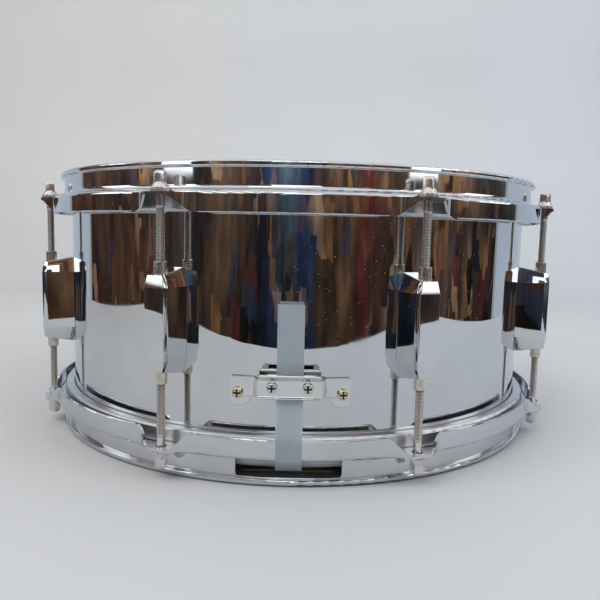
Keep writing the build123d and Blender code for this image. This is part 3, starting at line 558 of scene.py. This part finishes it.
def recess_shaded_plating(name, light, dark):
    """Plated screw whose cross recess is painted near-black as painted shade."""
    m = Mat(name)
    at = m.n("ShaderNodeAttribute", attribute_name="unrecessed")
    blot = m.noise(420.0, 4.0, 0.6)
    face = colour_mix(m, m.remap(blot, 0.35, 0.68, 0.0, 1.0), light + (1.0,), dark + (1.0,))
    # painted shade: near-black colour and lower metallic in the cross recess, where the attribute is 0
    col = colour_mix(m, at.outputs["Fac"], (0.035, 0.028, 0.02, 1.0), face)
    m.set(Base_Color=col, Metallic=m.remap(at.outputs["Fac"], 0.0, 1.0, 0.3, 1.0),
          Roughness=m.remap(blot, 0.3, 0.7, 0.16, 0.30))
    return m.m


def crossed(node, axes, floor, mat):
    """A copy of a set of cross-recess screws. The recess floor carries a mask for painted shade. Each axis is
    a point and an outward direction; floor is the distance of the recess floor along it."""
    me = NODES[node].data.copy()
    me.name = node + "_recess_shaded"
    o = bpy.data.objects.new(node + "_recess_shaded", me)
    bpy.context.scene.collection.objects.link(o)
    unrecessed = []
    for v in me.vertices:
        w = 1.0
        for p, d in axes:
            q = v.co - p
            t = q.dot(d)
            # recess floor vertices get 0, which marks them for painted shade
            if (q - t * d).length < 0.0026 and abs(t - floor) < 0.00012:
                w = 0.0
        unrecessed.append(w)
    at = me.attributes.new("unrecessed", "FLOAT", "POINT")
    at.data.foreach_set("value", unrecessed)
    stand_for(o, node)
    me.materials.clear()
    me.materials.append(mat)
    return o


def outward(az, z, x=0.0):
    a = math.radians(az)
    d = Vector((math.sin(a), -math.cos(a), 0.0))
    side = Vector((math.cos(a), math.sin(a), 0.0))
    return Vector((0.0, 0.0, z)) + side * x, d


# screw materials with painted shade in the cross recesses
brass_recess_shaded = recess_shaded_plating("brass_screw_recess_shaded", (0.86, 0.76, 0.52), (0.70, 0.59, 0.38))
steel_recess_shaded = recess_shaded_plating("chrome_screw_recess_shaded", (0.82, 0.81, 0.78), (0.70, 0.68, 0.64))
crossed("butt_mount_screws", [outward(9.6, 0.0519), outward(-9.6, 0.0519)], 0.17985, brass_recess_shaded)
crossed("butt_clamp_screws", [outward(0.0, 0.0575, 0.010), outward(0.0, 0.0575, -0.010)], 0.1876, steel_recess_shaded)
crossed("throwoff_clamp_screws", [outward(180.0, 0.059, 0.010), outward(180.0, 0.059, -0.010)], 0.19365, steel_recess_shaded)

# ------------------------------------------------------------------ stage
def stage_only(o, camera=True, diffuse=True, glossy=True, shadow=True, transmission=True):
    o.visible_camera = camera
    o.visible_diffuse = diffuse
    o.visible_glossy = glossy
    o.visible_shadow = shadow
    o.visible_transmission = transmission


def plain(name, left, cool_lit_tone, floor=1.0, rough=0.6):
    """Painted board: faint mottling and specks, a little cooler towards +X as painted cool light from that side, floor
    a little darker.
    """
    m = Mat(name)
    nz = m.noise(3.0, 4.0, 0.5)
    fine = m.noise(70.0, 5.0, 0.6)
    speck = m.voronoi(38.0)
    dot = m.math("MULTIPLY", m.remap(speck.outputs["Distance"], 0.02, 0.05, 1.0, 0.0),
                 m.remap(m.noise(6.0, 2.0), 0.58, 0.64, 0.0, 1.0), clamp=True)
    sp = m.n("ShaderNodeSeparateXYZ")
    m.link(m.coord.outputs["Object"], sp.inputs[0])
    # painted light: the colour shifts from the first tone to a cooler tone towards +X
    col = colour_mix(m, m.remap(sp.outputs["X"], -0.75, 0.75, 0.0, 1.0), left + (1.0,), cool_lit_tone + (1.0,))
    dark = colour_mix(m, m.remap(nz, 0.35, 0.65, 0.0, 0.035), col, (0.0, 0.0, 0.0, 1.0))
    col = colour_mix(m, m.remap(sp.outputs["Z"], 0.0, 0.35, 1.0 - floor, 0.0), dark, (0.0, 0.0, 0.0, 1.0))
    col = colour_mix(m, m.math("MULTIPLY", dot, 0.35), col, (0.30, 0.30, 0.30, 1.0))
    m.set(Base_Color=col, Roughness=m.remap(fine, 0.3, 0.7, rough, rough + 0.15))
    m.b.inputs["Specular IOR Level"].default_value = 0.25
    return m.m


def emissive(name, colour, strength):
    m = bpy.data.materials.new(name)
    m.use_nodes = True
    t = m.node_tree
    t.nodes.clear()
    e = t.nodes.new("ShaderNodeEmission")
    e.inputs["Color"].default_value = colour
    e.inputs["Strength"].default_value = strength
    o = t.nodes.new("ShaderNodeOutputMaterial")
    t.links.new(e.outputs[0], o.inputs["Surface"])
    return m


# the second tone of each board is its side with the painted cool light
pale = plain("stage_pale", (0.775, 0.77, 0.76), (0.75, 0.775, 0.81), 0.88)
table_mat = plain("stage_table", (0.53, 0.53, 0.53), (0.60, 0.635, 0.69))

# sweep: floor running up into a wall, seen by the camera and lighting the part
prof = [(-4.0, 0.0), (0.9, 0.0)]
for k in range(1, 17):
    a = math.radians(90.0 * k / 16)
    prof.append((0.9 + 0.7 * math.sin(a), 0.7 - 0.7 * math.cos(a)))
prof.append((1.6, 3.2))
sv, sf = [], []
for y, z in prof:
    sv += [(-4.0, y, z - 0.0006), (4.0, y, z - 0.0006)]
for k in range(len(prof) - 1):
    a = 2 * k
    sf.append((a, a + 1, a + 3, a + 2))
sweep = new_object("stage_sweep", sv, sf)
sweep.data.materials.append(pale)
stage_only(sweep, glossy=False)

# the table as polished metal sees it: it ends a little in front of the drum
tv = [(-0.89, -0.575, -0.0001), (0.78, -0.575, -0.0001), (0.78, 1.6, -0.0001), (-0.89, 1.6, -0.0001)]
table = new_object("stage_table_top", tv, [(0, 1, 2, 3)], smooth=False)
table.data.materials.append(table_mat)
stage_only(table, camera=False, diffuse=False, shadow=False, transmission=False)


def arc_wall(name, az0, az1, r, z0, z1, steps=48):
    v, f = [], []
    for k in range(steps + 1):
        a = math.radians(az0 + (az1 - az0) * k / steps)
        v += [(r * math.sin(a), -r * math.cos(a), z0), (r * math.sin(a), -r * math.cos(a), z1)]
    for k in range(steps):
        f.append((2 * k, 2 * k + 1, 2 * k + 3, 2 * k + 2))
    return new_object(name, v, f)


# pale wall behind and beside the drum, for reflections
backwall = arc_wall("stage_back_wall", 107.0, 247.0, 1.7, -0.5, 2.0)
backwall.data.materials.append(emissive("stage_wall_glow", rgb(178, 190, 205), 1.0))
stage_only(backwall, camera=False, diffuse=False, shadow=False, transmission=False)

# pale surround, which only the camera sees from the other sides
far = arc_wall("stage_far_wall", 0.0, 360.0, 3.4, -0.05, 6.0, 72)
far.data.materials.append(emissive("stage_far_glow", (0.575, 0.585, 0.60, 1.0), 1.0))
stage_only(far, diffuse=False, glossy=False, shadow=False, transmission=False)

# dim room in front, for reflections: upright bands of wood, cloth and metal colours
room = arc_wall("stage_room", -113.0, 107.0, 2.6, -2.4, 1.6, 110)
rm = Mat("stage_room_bands")
sep = rm.n("ShaderNodeSeparateXYZ")
rm.link(rm.coord.outputs["Object"], sep.inputs[0])
azm = rm.math("ARCTAN2", sep.outputs["X"], rm.math("MULTIPLY", sep.outputs["Y"], -1.0))
height = sep.outputs["Z"]
warp = rm.noise(1.6, 2.0, 0.5)
tt = rm.remap(azm, math.radians(-113), math.radians(107), 0.0, 1.0)
tt = rm.math("ADD", tt, rm.remap(warp, 0.3, 0.7, -0.008, 0.008))
ramp = rm.n("ShaderNodeValToRGB")
ramp.color_ramp.interpolation = "LINEAR"


def at_az(d):
    return (d + 113.0) / 220.0


bands = [
    (-113, (58, 42, 35)), (-92, (70, 50, 40)), (-72, (66, 47, 38)), (-66, (80, 64, 56)), (-58, (44, 34, 30)),
    (-50, (66, 60, 58)), (-46, (28, 27, 30)), (-40, (52, 42, 36)), (-31, (78, 60, 48)), (-24, (56, 44, 36)),
    (-17, (24, 24, 28)), (-13, (26, 30, 44)), (-9, (34, 46, 74)), (-7, (50, 66, 76)), (0, (48, 62, 72)),
    (2, (32, 42, 66)), (9, (36, 44, 66)), (11, (62, 48, 38)), (20, (90, 68, 50)), (27, (52, 38, 33)),
    (29, (74, 30, 31)), (33, (64, 40, 35)), (42, (46, 37, 33)), (52, (54, 43, 37)), (62, (92, 82, 76)),
    (68, (64, 38, 35)), (74, (92, 72, 60)), (82, (62, 50, 42)), (89, (24, 27, 34)), (107, (48, 45, 44)),
]
while len(ramp.color_ramp.elements) < len(bands):
    ramp.color_ramp.elements.new(0.5)
for el, (p, c) in zip(ramp.color_ramp.elements, bands):
    el.position = at_az(p)
    el.color = rgb(*c)
rm.link(tt, ramp.inputs["Fac"])

# clutter: upright boxes, planks and cloth of mixed heights
comb = rm.n("ShaderNodeCombineXYZ")
rm.link(rm.math("MULTIPLY", azm, 9.0), comb.inputs[0])
rm.link(rm.math("MULTIPLY", height, 3.0), comb.inputs[1])
cells = rm.n("ShaderNodeTexVoronoi")
cells.feature = "F1"
cells.distance = "CHEBYCHEV"
cells.inputs["Scale"].default_value = 1.7
rm.link(comb.outputs[0], cells.inputs["Vector"])
pick = rm.n("ShaderNodeSeparateColor")
rm.link(cells.outputs["Color"], pick.inputs[0])
things = rm.n("ShaderNodeValToRGB")
things.color_ramp.interpolation = "CONSTANT"
kinds = [(0.0, (20, 18, 18)), (0.22, (44, 33, 28)), (0.36, (92, 66, 44)), (0.46, (26, 26, 32)), (0.60, (118, 86, 58)),
         (0.68, (56, 42, 36)), (0.80, (34, 44, 62)), (0.88, (128, 104, 84)), (0.94, (70, 32, 30)), (0.97, (30, 28, 28))]
while len(things.color_ramp.elements) < len(kinds):
    things.color_ramp.elements.new(0.5)
for el, (p, c) in zip(things.color_ramp.elements, kinds):
    el.position = p
    el.color = rgb(*c)
rm.link(pick.outputs[0], things.inputs["Fac"])
fine = rm.noise(9.0, 5.0, 0.65, vec=rm.mapped((1.0, 1.0, 0.5)))
mixed = colour_mix(rm, rm.remap(rm.noise(2.1, 2.0, 0.5), 0.40, 0.60, 0.05, 0.80), ramp.outputs["Color"], things.outputs["Color"])

# openings and lamps higher up, which the sloping faces of the castings pick up
lamp = None
for lo_d, hi_d, foot in ((-11.5, 10.0, 0.78), (-58.6, -45.0, 0.385), (48.0, 62.0, 0.385), (79.0, 98.0, 0.56),
                         (-98.0, -79.0, 0.56)):
    w = rm.math("MULTIPLY", rm.remap(azm, math.radians(lo_d), math.radians(lo_d + 0.8), 0.0, 1.0),
                rm.remap(azm, math.radians(hi_d), math.radians(hi_d + 0.8), 1.0, 0.0), clamp=True)
    w = rm.math("MULTIPLY", w, rm.remap(height, foot, foot + 0.025, 0.0, 1.0), clamp=True)
    lamp = w if lamp is None else rm.math("ADD", lamp, w, clamp=True)
low = rm.remap(height, -0.60, 0.0, 0.40, 1.0)
high = rm.remap(height, 0.20, 0.42, 1.0, 2.3)
mul = rm.math("MULTIPLY", rm.remap(fine, 0.25, 0.75, 0.45, 1.6), rm.math("MULTIPLY", low, high))
shade = rm.math("MULTIPLY", mul, 1.25)
em = rm.n("ShaderNodeEmission")
rm.link(mixed, em.inputs["Color"])
rm.link(shade, em.inputs["Strength"])
em2 = rm.n("ShaderNodeEmission")
em2.inputs["Color"].default_value = (0.93, 0.98, 1.0, 1.0)
em2.inputs["Strength"].default_value = 1.9
ms = rm.n("ShaderNodeMixShader")
rm.link(lamp, ms.inputs[0])
rm.link(em.outputs[0], ms.inputs[1])
rm.link(em2.outputs[0], ms.inputs[2])
rm.t.nodes.remove(rm.b)
rm.link(ms.outputs[0], rm.t.nodes["Material Output"].inputs["Surface"])
room.data.materials.append(rm.m)
stage_only(room, camera=False, diffuse=False, shadow=False, transmission=False)


def panel(name, az, el, dist, w, h, strength, colour=(1.0, 1.0, 1.0, 1.0)):
    """A bright window-like card that only polished metal sees."""
    a, e = math.radians(az), math.radians(el)
    c = Vector((math.sin(a) * math.cos(e), -math.cos(a) * math.cos(e), math.sin(e))) * dist
    c.z += 0.1
    side = Vector((math.cos(a), math.sin(a), 0.0))
    n = (Vector((0, 0, 0.1)) - c).normalized()
    up = side.cross(n).normalized()
    v = [c + side * (sx * w / 2) + up * (sz * h / 2) for sx, sz in ((-1, -1), (1, -1), (1, 1), (-1, 1))]
    o = new_object(name, [tuple(p) for p in v], [(0, 1, 2, 3)], smooth=False)
    o.data.materials.append(emissive(name + "_glow", colour, strength))
    stage_only(o, camera=False, diffuse=False, shadow=False, transmission=False)


ceiling = new_object("stage_ceiling", [(-4.0, -4.0, 2.3), (-4.0, 4.0, 2.3), (4.0, 4.0, 2.3), (4.0, -4.0, 2.3)],
                     [(0, 1, 2, 3)], smooth=False)
ceiling.data.materials.append(emissive("stage_ceiling_glow", (0.95, 0.97, 1.0, 1.0), 0.85))
stage_only(ceiling, camera=False, diffuse=False, shadow=False, transmission=False)
panel("stage_window_a", -12.0, 42.0, 2.3, 0.75, 0.5, 2.2)
panel("stage_window_b", -60.0, 40.0, 2.3, 0.55, 0.5, 2.2)
panel("stage_window_c", 60.0, 40.0, 2.3, 0.7, 0.5, 2.2)
panel("stage_window_d", 150.0, 40.0, 2.3, 0.9, 0.8, 1.6)
panel("stage_window_e", -150.0, 40.0, 2.3, 0.9, 0.8, 1.6)


def area(name, loc, target, size, power, colour=(1, 1, 1)):
    d = bpy.data.lights.new(name, "AREA")
    d.shape = "RECTANGLE"
    d.size, d.size_y = size
    d.energy = power
    d.color = colour
    o = bpy.data.objects.new(name, d)
    bpy.context.scene.collection.objects.link(o)
    o.location = loc
    o.rotation_euler = (Vector(target) - Vector(loc)).to_track_quat("-Z", "Y").to_euler()
    o.visible_glossy = False
    return o


area("key", (-0.9, -1.1, 2.1), (0, 0, 0.05), (1.8, 1.4), 25.0, (1.0, 0.985, 0.965))
area("fill", (1.5, -0.6, 1.8), (0, 0.1, 0.05), (1.6, 1.6), 15.0, (0.92, 0.965, 1.0))
area("back", (0.2, 0.4, 2.3), (0, 0.9, 0.5), (2.4, 1.2), 9.0)

world = bpy.data.worlds.new("stage_world")
bpy.context.scene.world = world
world.use_nodes = True
wt = world.node_tree
bg = wt.nodes["Background"]
bg.inputs["Color"].default_value = (0.93, 0.96, 1.0, 1.0)
bg.inputs["Strength"].default_value = 0.36

# ------------------------------------------------------------------ camera
CAM = Vector((0.00645, -0.51355, 0.14281))
yaw, pitch, roll = -0.0060, 0.1106, 0.0226
fw = Vector((math.sin(yaw) * math.cos(pitch), math.cos(yaw) * math.cos(pitch), -math.sin(pitch)))
rt = fw.cross(Vector((0, 0, 1))).normalized()
up = rt.cross(fw)
r2 = math.cos(roll) * rt + math.sin(roll) * up
u2 = -math.sin(roll) * rt + math.cos(roll) * up
cam = bpy.data.cameras.new("camera")
cam.sensor_fit = "HORIZONTAL"
cam.sensor_width = 36.0
cam.lens = 607.25 / 600.0 * 36.0
cam.clip_start = 0.01
cam_o = bpy.data.objects.new("camera", cam)
bpy.context.scene.collection.objects.link(cam_o)
cam_o.matrix_world = Matrix((
    (r2.x, u2.x, -fw.x, CAM.x),
    (r2.y, u2.y, -fw.y, CAM.y),
    (r2.z, u2.z, -fw.z, CAM.z),
    (0, 0, 0, 1),
))
bpy.context.scene.camera = cam_o
bpy.context.scene.view_settings.view_transform = "Standard"
